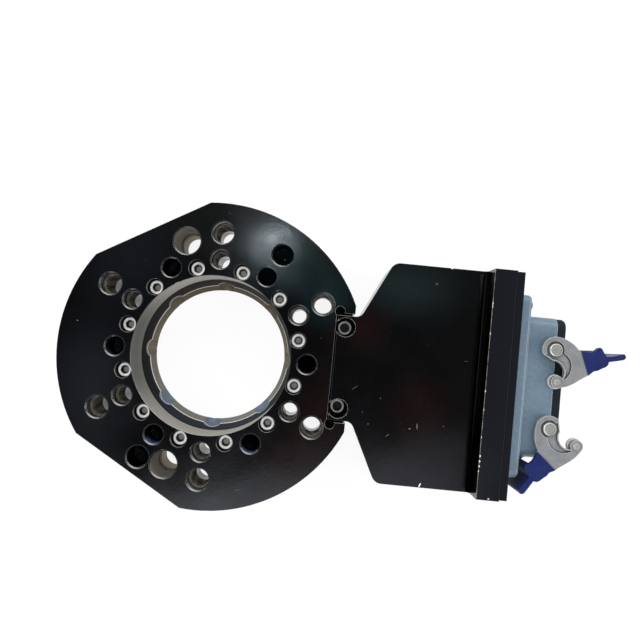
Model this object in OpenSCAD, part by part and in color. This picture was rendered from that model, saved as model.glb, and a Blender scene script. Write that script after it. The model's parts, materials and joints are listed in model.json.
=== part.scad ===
// Tool-side plate of a ball-lock robotic tool changer with a side electrical module.
// Origin: centre of the locking bore on the coupling face. +Z points to the tool
// mounting face, +X to the electrical module and its connector.

/* [Tool plate] */
// Width of solid plate outside the outer bolt circle
rim_width = 19.5; // [17:0.5:24]
// Thickness of the plate
plate_t = 40; // [38:1:46]
// Distance from the outer bolt circle to the three side flats
flat_margin = 10.7; // [10:0.1:13]
// Radius of the clear bore above the locking ring
bore_r = 51.7; // [51:0.1:51.8]
// Bevel on the hole rims
edge_bevel = 0.7; // [0.3:0.1:1]

/* [Tool fastening holes] */
// Distance between the two bolt circles
circle_step = 17.5; // [16.5:0.5:20]
// Distance from the bore wall to the inner bolt circle
inner_circle_margin = 10.8; // [10.8:0.1:13]
// Rim radius of the outer holes
outer_rim_r = 7; // [6.9:0.05:7.2]
// Rim radius of the inner holes
inner_rim_r = 6.1; // [6:0.05:6.3]
// Thread radius of the outer steel inserts
outer_thread_r = 6.05; // [5:0.05:6.1]
// Thread radius of the inner steel inserts
inner_thread_r = 5; // [4.2:0.1:5]
// Depth of the smooth rim above each insert
insert_drop = 6; // [3:0.5:8]
// Length of the outer inserts
outer_insert_l = 22; // [18:1:24]
// Length of the inner inserts
inner_insert_l = 16; // [12:1:17]
// Depth of the blind holes
blind_depth = 18; // [12:1:22]

/* [Locking ring] */
// Width of the seat for the ring outside the bore wall
ring_width = 10.3; // [9.8:0.1:10.4]
// Height of the ring
ring_h = 16; // [15.5:0.5:17]
// Width of the lead-in below the ball seats
lead_in = 3; // [2.5:0.1:3.5]
// Width of the locking cone
cone_width = 3.2; // [2.8:0.1:4]
// Height of the ball seat edge above the coupling face
seat_z = 5.6; // [5:0.1:6.5]
// Number of ball pockets
ball_count = 8; // [6:1:10]
// Radius of each ball pocket
ball_pocket_r = 7.8; // [7.4:0.1:8]
// Distance of the pocket centres inside the ball seat edge
pocket_inset = 5.3; // [4.9:0.1:5.5]
// Number of ring screws
ring_screw_count = 12; // [12:12:12]
// Distance from the bore wall to the ring screws
ring_screw_margin = 5.7; // [5.6:0.05:5.8]
// Depth of the ring screw heads below the tool face
ring_head_drop = 5; // [3:0.5:7]

/* [Guide bushes] */
// Radius of the guide pin bore
guide_bore_r = 7.6; // [7:0.1:8]
// Outer radius of the bush
guide_bush_r = 11; // [10.6:0.1:11.4]
// Length of the bush
guide_bush_l = 16; // [14:1:20]
// Clear radius above the bush
guide_clear_r = 8.65; // [8.4:0.05:9]
// Distance of the bushes inside the outer bolt circle
guide_inset = 4; // [3.5:0.5:4.5]
// Angle of the bushes from the module side
guide_angle = 107.5; // [106.5:0.5:108]

/* [Module body] */
// Depth of the pocket in the plate behind the side flat
pocket_depth = 12; // [11:0.1:12.2]
// Half width of the pocket in the plate
pocket_half = 35.4; // [35:0.1:36]
// Height of the pocket floor
pocket_floor = 10; // [9:0.5:12]
// Gap on each side of the neck
neck_side_gap = 1.4; // [0.8:0.1:2]
// Gap between the neck end and the pocket wall
neck_gap = 1.1; // [0.5:0.1:1.5]
// Half width of the module
module_half = 71.5; // [69:0.5:76]
// Length of the neck outside the side flat
neck_run = 3.8; // [3:0.1:6]
// Length of the slanted flank along X
flank_run = 18.5; // [17:0.5:22]
// Height of the flat module top
module_top = 39.5; // [39:0.5:40]
// Height of the module underside above the coupling face
module_floor = 0.5; // [0.5:0.1:1]
// Thickness of the module top
roof_t = 3.5; // [3:0.5:4]
// Thickness of the side walls
wall_t = 5; // [4.5:0.5:6]
// Length of the straight module sides
side_run = 61; // [58:0.1:70]
// Length of the raised head
head_run = 14.2; // [12.5:0.1:16]
// Height of the raised head
head_top = 56.5; // [56:0.5:59]

/* [Module fasteners] */
// Distance of the module bolts inside the side flat
bolt_inset = 5.4; // [5:0.1:5.6]
// Distance of the module bolts inside the neck sides
bolt_side = 7.6; // [7:0.1:9]
// Radius of the bolt counterbores
bolt_sink_r = 6.3; // [5.6:0.1:6.4]
// Height of the seat below the bolt heads
bolt_seat = 17; // [16:0.5:20]
// Radius of the locating pins
pin_r = 3; // [2.5:0.5:3]
// Half spacing of the locating pins
pin_half = 13; // [10:1:16]

/* [Connector plate] */
// Thickness of the gasket on the head
head_gasket_t = 0.6; // [0.4:0.1:1]
// Thickness of the connector plate
adapter_t = 4.3; // [4:0.1:5]
// Set-back of the plate edge from the head
adapter_inset = 0.6; // [0.3:0.1:1]

/* [Connector housing] */
// Flange length outside each pair of flange screws
flange_margin = 6.5; // [5.5:0.5:8]
// Width of the flange beside the housing body
flange_side = 2.75; // [2.5:0.05:2.9]
// Thickness of the flange
flange_t = 6.6; // [6:0.2:7]
// Thickness of the flange gasket
flange_gasket_t = 1; // [0.6:0.1:1.4]
// Half length of the housing body
shell_half = 45; // [42:0.5:50]
// Half width of the housing body
shell_half_w = 19; // [18:0.1:20]
// Wall of the housing body
shell_wall = 2.75; // [2.5:0.05:3]
// Height of the housing body above the flange
shell_h = 18.5; // [18:0.2:19]
// Depth of the rubber mouth seal
seal_t = 5.6; // [4:0.2:6]
// Contacts along one row
contact_columns = 8; // [4:1:8]
// Spacing of the contacts along the row
contact_pitch = 7.5; // [7:0.1:7.8]
// Half spacing of the two contact rows
contact_row_half = 5; // [4.5:0.1:5.5]

/* [Locking levers] */
// Distance of the lever pivots behind the housing rim
pivot_inset = 2.8; // [2.5:0.1:3.5]
// Distance of the lever pivots from the ends of the housing body
pivot_end = 20.4; // [19.5:0.1:20.4]
// Radius of the pivot pins
pivot_r = 2.5; // [2:0.1:2.6]
// Gap between the flange sides and the arms
arm_gap = 0.85; // [0.6:0.05:1.2]
// Thickness of an arm
arm_t = 2.8; // [2.4:0.1:3.2]
// Depth of the recess in the arm's outer face
arm_recess = 0.9; // [0.5:0.1:1.2]
// Radius of the rollers
roller_r = 4.6; // [4.2:0.1:4.6]
// Width of a roller
roller_w = 2.8; // [2.4:0.1:2.8]
// Turn of the opened lever from its closed place
lever_travel = 110; // [106:1:111]
// Running clearance of pivots and rollers
run_gap = 0.05; // [0.02:0.01:0.08]

/* [Signal block] */
// Distance from the end of the flank to the middle of the signal block
block_run = 27; // [25:1:29]
// Half width of the signal block
block_half_w = 14; // [12:0.5:15]
// Half spacing of the two pad rows
pad_row_half = 6; // [5:0.5:8]
// Radius of a contact pad
pad_r = 1.8; // [1.4:0.1:2]
// Radius of a wire
wire_r = 1.1; // [0.8:0.1:1.2]

/* [Hidden] */
$fn = 72;
eps = 0.01;
cut = 1;
fit_gap = 0.02;
seam_gap = 0.15;
inner_circle_r = bore_r + inner_circle_margin;
outer_circle_r = inner_circle_r + circle_step;
plate_r = outer_circle_r + rim_width;
flat_dist = outer_circle_r + flat_margin;
ring_r = bore_r + ring_width;
ring_screw_circle_r = bore_r + ring_screw_margin;
seat_r = bore_r - cone_width;
mouth_r = seat_r - lead_in;
ball_circle_r = seat_r - pocket_inset;
guide_circle_r = outer_circle_r - guide_inset;
pocket_x = flat_dist - pocket_depth;
neck_half = pocket_half - neck_side_gap;
flank_start_x = flat_dist + neck_run;
flank_end_x = flank_start_x + flank_run;
head_x = flank_end_x + side_run;
head_end_x = head_x + head_run;
bolt_x = flat_dist - bolt_inset;
bolt_half = neck_half - bolt_side;
flat_angles = [0, 120, 240];
through_angles = [30, 90, 150, 210, 270, 330];
blind_inner_angles = [0, 60, 120, 180, 240, 300];
blind_outer_angles = [60, 240];

// metric screw sizes: shank radius, core radius in the thread, head radius and height
m6 = [3, 2.5, 5, 6];
m6_key = 5;
m6_clear_r = 3.3;
head_sink_r = 5.3;
bore_bevel = 0.2;
socket_share = 0.5;
m4 = [2, 1.6, 4, 2.2];
m3 = [1.5, 1.2, 2.75, 1.6];

ring_seat_z = plate_t - ring_head_drop - m6[3];
ring_thread_floor = 4;
insert_top = plate_t - insert_drop;
outer_lower_r = outer_thread_r + 0.25;
inner_lower_r = inner_thread_r + fit_gap;
outer_insert_r = outer_rim_r - 0.1;
inner_insert_r = inner_rim_r - 0.35;
ring_notch_gap = 0.5;
relief_r = 3.2;
relief_x = pocket_x + 2;
relief_y = pocket_half + 1.1;
drill_point = 30;

neck_end_x = pocket_x + neck_gap;
shoulder_x = flat_dist + 0.6;
flank_rise = module_half - neck_half;
flank_len = sqrt(flank_rise * flank_rise + flank_run * flank_run);
flank_angle = atan2(flank_rise, flank_run);
outer_round = 7;
inner_round = 5.5;
round_reach = tan(flank_angle / 2);
cavity_start_x = flank_start_x + 5.5;
cavity_top = module_top - roof_t;
cover_t = 3.5;
cover_lip = wall_t / 2;
cover_top = module_floor + cover_t;
head_wall = 5;
step_round = 2.5;
boss_r = 4.5;
cover_spots = [
    [cavity_start_x + 4, neck_half + 3], [flank_end_x + 13, module_half - 9],
    [head_x - 7.7, module_half - 9]
];

mid_z = (head_top + module_floor) / 2;
adapter_x = head_end_x + head_gasket_t;
adapter_end_x = adapter_x + adapter_t;
flange_x = adapter_end_x + flange_gasket_t;
flange_end_x = flange_x + flange_t;
shell_end_x = flange_end_x + shell_h;
seal_end_x = shell_end_x + seal_t;
adapter_half = module_half - adapter_inset;
adapter_half_z = (head_top - module_floor) / 2 - adapter_inset;
adapter_screw_half = module_half - 6.5;
head_half = adapter_screw_half - 7;
adapter_row = adapter_half_z - 6.4;
adapter_screw_rows = [-adapter_row, 0, adapter_row];
insert_half = shell_half - shell_wall - 0.25;
insert_half_w = shell_half_w - shell_wall - 0.25;
flange_screw_half = shell_half + 6.5;
flange_screw_half_w = shell_half_w - 3;
flange_half = flange_screw_half + flange_margin;
flange_half_w = shell_half_w + flange_side;
opening_half = shell_half - 2;
opening_half_w = shell_half_w - 3.5;
shell_round = 7;
flange_round = 5;
shell_cavity_half = shell_half - shell_wall;
shell_cavity_half_w = shell_half_w - shell_wall;
ledge_t = flange_t - 1.6;
ledge_x = flange_x + ledge_t;
ledge_half = insert_half - 7;
ledge_half_w = insert_half_w - 3.5;
insert_base_t = 5;
insert_core_half = insert_half - 8;
insert_core_half_w = insert_half_w - 5;
insert_top_x = seal_end_x - 1.5;
insert_rib_x = seal_end_x + 2;
insert_screw_half = insert_half - 3.5;
insert_screw_half_w = insert_half_w - 3.4;
pivot_x = shell_end_x - pivot_inset;
pivot_half = shell_half - pivot_end;
seal_setback = 0.3;
seal_lip = 1.2;
seal_skirt = 2;

head_r = 3.9;
head_h = 1.6;
ear_r = 4.6;
arm_inner = flange_half_w + arm_gap;
arm_outer = arm_inner + arm_t;
roller_inner = arm_inner - 0.1 - roller_w;
pin_floor = shell_half_w - 0.2;
tip = [2.6, -19.9];
tip_r = 3.9;
eye_r = 8.2;
hook_centre = [-0.6, -13.9];
hook_r = 7.1;
web_centre = [1, -10.1];
web_r = 9.7;
web_eye_r = 5.5;
grip_start = [16.2, 0.6];
grip_end = [21.6, -13.8];
roller_pin_r = 1.5;
pin_end_t = 0.4;
cheek_lap = 0.5;
tongue_gap = 0.05;
tongue_t = 1.4;
tongue_w = 7;
tongue_l = 9;
grip_tilt = atan2(grip_end[0] - grip_start[0], grip_start[1] - grip_end[1]);
grip_middle = (grip_start + grip_end) / 2;

block_x = flank_end_x + block_run;
block_half = (contact_columns - 1) * contact_pitch / 2 + 6.75;
pad_floor = module_floor - 0.3;
block_floor = module_floor + 0.3;
block_flange_t = 2.5;
block_lap = 5;
block_top = 10;
pad_top = block_top + 1.5;
seal_ring_w = 2;
tail_x = adapter_x + 1;
bend_r = 7;

plate_black = [0.05, 0.05, 0.06];
module_black = [0.07, 0.07, 0.08];
steel = [0.55, 0.55, 0.53];
bright_steel = [0.75, 0.75, 0.74];
housing_blue = [0.47, 0.55, 0.61];
lever_grey = [0.66, 0.67, 0.67];
grip_blue = [0.14, 0.15, 0.42];
rubber_black = [0.04, 0.04, 0.04];
insert_grey = [0.78, 0.77, 0.73];
brass_gold = [0.78, 0.62, 0.3];

// ---------- shared shapes ----------

// places children on a circle at each of the given angles
module on_circle(radius, angles) {
    for (a = angles) rotate(a) translate([radius, 0, 0]) children();
}

// places children at all four corners of a rectangle in the plane
module at_corners(half_x, half_y) {
    for (sx = [-1, 1], sy = [-1, 1]) translate([sx * half_x, sy * half_y, 0]) children();
}

// turns a flat outline drawn in (Y, Z) into a slab between two X places
module slab_x(from_x, to_x) {
    translate([from_x, 0, 0]) rotate([90, 0, 90]) linear_extrude(to_x - from_x) children();
}

// a slab between two heights
module slab_z(from_z, to_z) {
    translate([0, 0, from_z]) linear_extrude(to_z - from_z) children();
}

// a rod along Z between two heights
module rod_z(radius, from_z, to_z) {
    translate([0, 0, from_z]) cylinder(r = radius, h = to_z - from_z);
}

// rectangle with round corners about the origin
module round_rect(half_a, half_b, radius) {
    square([2 * (half_a - radius), 2 * half_b], center = true);
    square([2 * half_a, 2 * (half_b - radius)], center = true);
    at_corners(half_a - radius, half_b - radius) circle(r = radius);
}

// hexagonal key socket with its mouth at height top
module key_socket(flats, top, depth) {
    translate([0, 0, top - depth]) cylinder(r = flats / sqrt(3), h = depth + cut, $fn = 6);
}

// bevel cut for a round rim at height z that faces up
module rim_bevel(radius, z, size = edge_bevel) {
    translate([0, 0, z - size]) cylinder(r1 = radius, r2 = radius + size + eps, h = size + eps);
}

// socket head screw: seat is the underside of the head, the thread core ends at floor_z
module cap_screw(size, seat, core_top, floor_z, flats) {
    head_top_z = seat + size[3];
    bevel = 0.5;
    difference() {
        union() {
            rod_z(size[2], seat, head_top_z - bevel);
            translate([0, 0, head_top_z - bevel])
                cylinder(r1 = size[2], r2 = size[2] - bevel, h = bevel);
            rod_z(size[0], core_top, seat + eps);
            rod_z(size[1], floor_z, core_top + eps);
        }
        key_socket(flats, head_top_z, size[3] * socket_share);
    }
}

// countersunk screw pointing down from height top
module sunk_screw(size, top, floor_z, flats) {
    difference() {
        union() {
            translate([0, 0, top - size[3]]) cylinder(r1 = size[0], r2 = size[2], h = size[3]);
            rod_z(size[0], top - size[3] - 1, top - size[3] + eps);
            rod_z(size[1], floor_z, top - size[3] - 1 + eps);
        }
        key_socket(flats, top, size[3] * 0.7);
    }
}

// cut for a countersunk screw, with a clear shank hole down to floor_z
module sunk_cut(size, top, floor_z) {
    translate([0, 0, top - size[3] - fit_gap])
        cylinder(r1 = size[0] + fit_gap, r2 = size[2] + 2 * fit_gap + 0.1, h = size[3] + 0.1);
    rod_z(size[0] + 0.15, floor_z, top);
}

// ---------- tool plate ----------

module flat_cut(angle) {
    rotate(angle) translate([flat_dist, -plate_r, -cut])
        cube([2 * plate_r, 2 * plate_r, plate_t + 2 * cut]);
}

module plate_blank() {
    rotate_extrude($fn = 180)
        polygon([
            [bore_r, 0], [plate_r, 0], [plate_r, plate_t],
            [bore_r + bore_bevel, plate_t], [bore_r, plate_t - bore_bevel]
        ]);
}

// stepped hole that takes a steel thread insert
module insert_hole(rim, insert, length, lower) {
    rod_z(lower, -cut, plate_t);
    rod_z(insert, insert_top - length, plate_t);
    rod_z(rim, insert_top, plate_t + cut);
    rim_bevel(rim, plate_t);
}

// blind hole with a drill point
module blind_hole(rim) {
    floor_z = plate_t - blind_depth;
    rod_z(rim, floor_z, plate_t + cut);
    point_h = rim * tan(drill_point);
    translate([0, 0, floor_z - point_h]) cylinder(r1 = 0.4, r2 = rim, h = point_h + eps);
    rim_bevel(rim, plate_t);
}

module ring_screw_hole() {
    rod_z(m6_clear_r, ring_h - cut, plate_t);
    rod_z(head_sink_r, ring_seat_z, plate_t + cut);
}

module guide_hole() {
    rod_z(guide_bush_r, -cut, guide_bush_l);
    rod_z(guide_clear_r, 0, plate_t + cut);
    rim_bevel(guide_clear_r, plate_t);
}

module neck_pocket() {
    slab_z(pocket_floor, plate_t + cut) {
        translate([pocket_x, -pocket_half]) square([plate_r, 2 * pocket_half]);
        for (s = [-1, 1]) translate([relief_x, s * relief_y]) circle(r = relief_r);
    }
    for (s = [-1, 1]) {
        translate([bolt_x, s * bolt_half, 0]) rod_z(m6[1] + fit_gap, 1.5, pocket_floor + cut);
        translate([bolt_x, s * pin_half, 0]) rod_z(pin_r, 2, pocket_floor + cut);
    }
}

module tool_plate() {
    ring_angles = [for (i = [0:ring_screw_count - 1]) (i + 0.5) * 360 / ring_screw_count];
    color(plate_black) difference() {
        plate_blank();
        rod_z(ring_r + fit_gap, -cut, ring_h);
        for (a = flat_angles) flat_cut(a);
        on_circle(outer_circle_r, through_angles)
            insert_hole(outer_rim_r, outer_insert_r, outer_insert_l, outer_lower_r);
        on_circle(inner_circle_r, through_angles)
            insert_hole(inner_rim_r, inner_insert_r, inner_insert_l, inner_lower_r);
        on_circle(outer_circle_r, blind_outer_angles) blind_hole(outer_rim_r);
        on_circle(inner_circle_r, blind_inner_angles) blind_hole(inner_rim_r);
        on_circle(ring_screw_circle_r, ring_angles) ring_screw_hole();
        on_circle(guide_circle_r, [guide_angle, -guide_angle]) guide_hole();
        neck_pocket();
    }
}

module locking_ring() {
    bevel = 0.6;
    land = 1.5;
    ring_angles = [for (i = [0:ring_screw_count - 1]) (i + 0.5) * 360 / ring_screw_count];
    color(steel) difference() {
        rotate_extrude($fn = 180)
            polygon([
                [mouth_r, 0], [ring_r - bevel, 0], [ring_r, bevel], [ring_r, ring_h],
                [bore_r, ring_h], [seat_r, seat_z], [mouth_r, land]
            ]);
        for (i = [0:ball_count - 1]) rotate(i * 360 / ball_count)
            translate([ball_circle_r, 0, seat_z + 1.8]) sphere(r = ball_pocket_r);
        on_circle(ring_screw_circle_r, ring_angles)
            rod_z(m6[1] + fit_gap, ring_thread_floor - 0.5, ring_h + cut);
        on_circle(inner_circle_r, through_angles)
            rod_z(inner_lower_r + ring_notch_gap, -cut, ring_h + cut);
    }
}

module ring_screws() {
    ring_angles = [for (i = [0:ring_screw_count - 1]) (i + 0.5) * 360 / ring_screw_count];
    color(bright_steel) on_circle(ring_screw_circle_r, ring_angles)
        cap_screw(m6, ring_seat_z, ring_h + 0.5, ring_thread_floor, m6_key);
}

// threaded steel sleeve, drawn at the thread's own radius
module thread_sleeve(outer, inner, length) {
    bevel = 0.5;
    difference() {
        rod_z(outer - fit_gap, insert_top - length, insert_top);
        rod_z(inner, insert_top - length - cut, insert_top + cut);
        rim_bevel(inner, insert_top, bevel);
    }
}

module outer_thread_inserts() {
    color(bright_steel) on_circle(outer_circle_r, through_angles)
        thread_sleeve(outer_insert_r, outer_thread_r, outer_insert_l);
}

module inner_thread_inserts() {
    color(bright_steel) on_circle(inner_circle_r, through_angles)
        thread_sleeve(inner_insert_r, inner_thread_r, inner_insert_l);
}

module guide_bushes() {
    lead = 1.2;
    color(bright_steel) on_circle(guide_circle_r, [guide_angle, -guide_angle]) difference() {
        rod_z(guide_bush_r - fit_gap, 0, guide_bush_l);
        rod_z(guide_bore_r, -cut, guide_bush_l + cut);
        translate([0, 0, -eps]) cylinder(r1 = guide_bore_r + lead, r2 = guide_bore_r, h = lead);
        rim_bevel(guide_bore_r, guide_bush_l, 0.4);
    }
}

// ---------- module body ----------

// both halves of an outline whose upper edge runs from left to right
function both_sides(edge) = concat(edge, [for (i = [len(edge) - 1:-1:0]) [edge[i][0], -edge[i][1]]]);

// outline of the module seen from the tool side, with both flank corners rounded
module module_outline() {
    c = cos(flank_angle);
    s = sin(flank_angle);
    a = outer_round * round_reach;
    b = inner_round * round_reach;
    difference() {
        polygon(both_sides([
            [neck_end_x, neck_half], [flank_start_x - b, neck_half],
            [flank_start_x - b, neck_half + inner_round],
            [flank_start_x + b * c, neck_half + b * s], [flank_end_x, module_half],
            [head_end_x, module_half]
        ]));
        for (m = [0, 1]) mirror([0, m]) {
            translate([flank_start_x - b, neck_half + inner_round]) circle(r = inner_round);
            difference() {
                polygon([
                    [flank_end_x + a, module_half - outer_round / 2],
                    [flank_end_x - a * c + s, module_half - a * s - c],
                    [flank_end_x - a * c - s, module_half - a * s + c],
                    [flank_end_x - s, module_half + 2], [flank_end_x + a, module_half + 2]
                ]);
                translate([flank_end_x + a, module_half - outer_round]) circle(r = outer_round);
            }
        }
    }
}

// outline of the hollow, at a given distance inside the module walls
module hollow_outline(wall, grow) {
    top = module_half - wall;
    step = tan(flank_angle);
    start = cavity_start_x - grow;
    near = neck_half + (start - flank_start_x) * step - wall / cos(flank_angle);
    far = flank_start_x + (top - neck_half) / step + wall / sin(flank_angle);
    polygon(both_sides([[start, near], [far, top], [head_x + grow, top]]));
}

module at_cover_spots() {
    for (p = cover_spots, s = [-1, 1]) translate([p[0], s * p[1], 0]) children();
}

module at_adapter_spots(depth_x) {
    for (z = adapter_screw_rows, s = [-1, 1])
        translate([depth_x, s * adapter_screw_half, mid_z + z]) rotate([0, 90, 0]) children();
}

module at_flange_spots(depth_x) {
    for (sz = [-1, 1], s = [-1, 1])
        translate([depth_x, s * flange_screw_half, mid_z + sz * flange_screw_half_w])
            rotate([0, 90, 0]) children();
}

module neck_bolt_holes() {
    for (s = [-1, 1]) {
        translate([bolt_x, s * bolt_half, 0]) {
            rod_z(m6_clear_r, pocket_floor - cut, bolt_seat + cut);
            rod_z(bolt_sink_r, bolt_seat, module_top + cut);
        }
        translate([bolt_x, s * pin_half, 0]) rod_z(pin_r, pocket_floor - cut, pocket_floor + 6.5);
    }
}

module module_body() {
    color(module_black) difference() {
        union() {
            slab_z(module_floor, module_top) module_outline();
            translate([head_x, -module_half, module_floor])
                cube([head_end_x - head_x, 2 * module_half, head_top - module_floor]);
            translate([head_x - step_round, -module_half, module_top - eps])
                cube([step_round + eps, 2 * module_half, step_round]);
        }
        translate([head_x - step_round, 0, module_top + step_round]) rotate([90, 0, 0])
            cylinder(r = step_round, h = 2 * module_half + 2 * cut, center = true);
        translate([neck_end_x - cut, -neck_half - 10, module_floor - cut])
            cube([shoulder_x - neck_end_x + cut, 2 * neck_half + 20,
                pocket_floor - module_floor + cut]);
        difference() {
            slab_z(cover_top - eps, cavity_top) hollow_outline(wall_t, 0);
            at_cover_spots() rod_z(boss_r, cover_top - cut, cavity_top + cut);
        }
        slab_z(module_floor - cut, cover_top) hollow_outline(wall_t - cover_lip, cover_lip);
        at_cover_spots() rod_z(m3[1] + fit_gap, cover_top - cut, cover_top + 9);
        translate([head_x - cut, -head_half + 8, cover_top + 4])
            cube([head_wall + 2 * cut, 2 * head_half - 16, cavity_top - cover_top - 4]);
        translate([head_x + head_wall, -head_half, module_floor + head_wall])
            cube([head_end_x, 2 * head_half, head_top - module_floor - 2 * head_wall]);
        at_adapter_spots(head_end_x - 9) rod_z(m4[1] + fit_gap, 0, 10);
        neck_bolt_holes();
    }
}

module module_bolts() {
    color(bright_steel) for (s = [-1, 1]) translate([bolt_x, s * bolt_half, 0])
        cap_screw(m6, bolt_seat, pocket_floor + 0.5, 2.5, m6_key);
}

module locating_pins() {
    color(bright_steel) for (s = [-1, 1]) translate([bolt_x, s * pin_half, 0]) {
        rod_z(pin_r - fit_gap, 3, pocket_floor + 5.5);
        translate([0, 0, pocket_floor + 5.5])
            cylinder(r1 = pin_r - fit_gap, r2 = pin_r - 0.5, h = 0.5);
    }
}

module base_cover() {
    color(module_black) difference() {
        slab_z(module_floor, cover_top)
            hollow_outline(wall_t - cover_lip + seam_gap, cover_lip - seam_gap);
        translate([block_x, 0, 0]) slab_z(module_floor - cut, cover_top + cut)
            square([2 * (block_half_w + seam_gap), 2 * (block_half + seam_gap)], center = true);
        at_cover_spots() mirror([0, 0, 1]) sunk_cut(m3, -module_floor, -cover_top - cut);
        translate([block_x, 0, 0]) at_corners(block_half_w + 2.7, block_half + 2.7)
            rod_z(m3[1] + fit_gap, module_floor + 0.5, cover_top + cut);
    }
}

module cover_screws() {
    color(bright_steel) at_cover_spots() mirror([0, 0, 1])
        sunk_screw(m3, -module_floor, -cover_top - 6, 2);
}

// ---------- signal block ----------

// pad and contact positions share the spacing along Y
module at_contact_columns() {
    for (i = [0:contact_columns - 1])
        translate([0, (i - (contact_columns - 1) / 2) * contact_pitch, 0]) children();
}

module signal_block() {
    stem_r = wire_r - 0.1;
    color(rubber_black) translate([block_x, 0, 0]) difference() {
        union() {
            slab_z(block_floor, block_top) square([2 * block_half_w, 2 * block_half], center = true);
            slab_z(cover_top, cover_top + block_flange_t)
                square([2 * (block_half_w + block_lap), 2 * (block_half + block_lap)],
                    center = true);
        }
        slab_z(block_floor - cut, block_floor + 2) difference() {
            round_rect(block_half_w - 1, block_half - 1, 3);
            round_rect(block_half_w - 1 - seal_ring_w, block_half - 1 - seal_ring_w, 1.5);
        }
        for (s = [-1, 1]) translate([s * pad_row_half, 0, 0]) at_contact_columns() {
            rod_z(pad_r + fit_gap, block_floor - cut, block_floor + 1.5);
            rod_z(stem_r + fit_gap, block_floor, block_top + cut);
        }
        at_corners(block_half_w + 2.7, block_half + 2.7)
            rod_z(m3[0] + 0.15, cover_top - cut, block_top);
    }
}

module signal_pads() {
    stem_r = wire_r - 0.1;
    color(brass_gold) for (s = [-1, 1])
        translate([block_x + s * pad_row_half, 0, 0]) at_contact_columns() {
            rod_z(pad_r, pad_floor, block_floor + 1.5);
            rod_z(stem_r, block_floor + 1, pad_top);
        }
}

module block_seal() {
    color(rubber_black) translate([block_x, 0, 0])
        slab_z(pad_floor, block_floor + 2) difference() {
            round_rect(block_half_w - 1, block_half - 1, 3);
            round_rect(block_half_w - 1 - seal_ring_w, block_half - 1 - seal_ring_w, 1.5);
        }
}

module block_screws() {
    seat = cover_top + block_flange_t;
    color(bright_steel) translate([block_x, 0, 0])
        at_corners(block_half_w + 2.7, block_half + 2.7)
            cap_screw([m3[0], m3[1], 2.2, 2.5], seat, cover_top + 0.5, module_floor + 1, 2.5);
}

// one wire from a pad, up, round a bend and along to the connector
module wire(start_x, row_z) {
    translate([start_x, 0, 0]) rod_z(wire_r, pad_top, row_z - bend_r + eps);
    translate([start_x + bend_r, 0, row_z - bend_r]) rotate([90, 0, 0]) rotate(90)
        rotate_extrude(angle = 90, $fn = 48) translate([bend_r, 0]) circle(r = wire_r, $fn = 24);
    translate([start_x + bend_r - eps, 0, row_z]) rotate([0, 90, 0])
        cylinder(r = wire_r, h = tail_x - start_x - bend_r + eps);
}

module wire_loom() {
    color(grip_blue) at_contact_columns() for (s = [-1, 1])
        wire(block_x + s * pad_row_half, mid_z - s * contact_row_half);
}

// ---------- connector ----------

module head_gasket() {
    inset = adapter_inset;
    color(rubber_black) translate([0, 0, mid_z]) difference() {
        slab_x(head_end_x, adapter_x)
            square([2 * (adapter_half - inset), 2 * (adapter_half_z - inset)], center = true);
        slab_x(head_end_x - cut, adapter_x + cut)
            square([2 * head_half, head_top - module_floor - 2 * head_wall], center = true);
        translate([0, 0, -mid_z]) at_adapter_spots(head_end_x - cut)
            rod_z(m4[0] + 0.1, 0, head_gasket_t + 2 * cut);
    }
}

module connector_plate() {
    color(module_black) difference() {
        translate([0, 0, mid_z]) difference() {
            slab_x(adapter_x, adapter_end_x)
                square([2 * adapter_half, 2 * adapter_half_z], center = true);
            slab_x(adapter_x - cut, adapter_end_x + cut)
                round_rect(opening_half, opening_half_w, 3);
        }
        at_adapter_spots(0) sunk_cut(m4, adapter_end_x, adapter_x - cut);
        at_flange_spots(adapter_x - cut) rod_z(m4[1] + fit_gap, 0, adapter_t + 2 * cut);
    }
}

module plate_screws() {
    color(bright_steel) at_adapter_spots(0)
        sunk_screw(m4, adapter_end_x, head_end_x - 8, 2.5);
}

module flange_gasket() {
    color(rubber_black) translate([0, 0, mid_z]) difference() {
        slab_x(adapter_end_x, flange_x)
            round_rect(flange_half - 0.5, flange_half_w - 0.5, flange_round);
        slab_x(adapter_end_x - cut, flange_x + cut) round_rect(opening_half, opening_half_w, 3);
        translate([0, 0, -mid_z]) at_flange_spots(adapter_end_x - cut)
            rod_z(m4[0] + 0.1, 0, flange_gasket_t + 2 * cut);
    }
}

// ear that carries one lever pivot, drawn from the connector's middle outwards
module pivot_ear() {
    slab_z(shell_half_w - seal_setback + 0.05, arm_inner - 0.1) {
        circle(r = ear_r);
        translate([5.4, -1.5]) circle(r = 1.9);
    }
}

// repeats children at both pivots and on both sides of the connector
module at_pivots() {
    for (my = [0, 1], mz = [0, 1]) translate([pivot_x, 0, mid_z])
        mirror([0, my, 0]) mirror([0, 0, mz]) translate([0, pivot_half, 0]) children();
}

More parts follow.
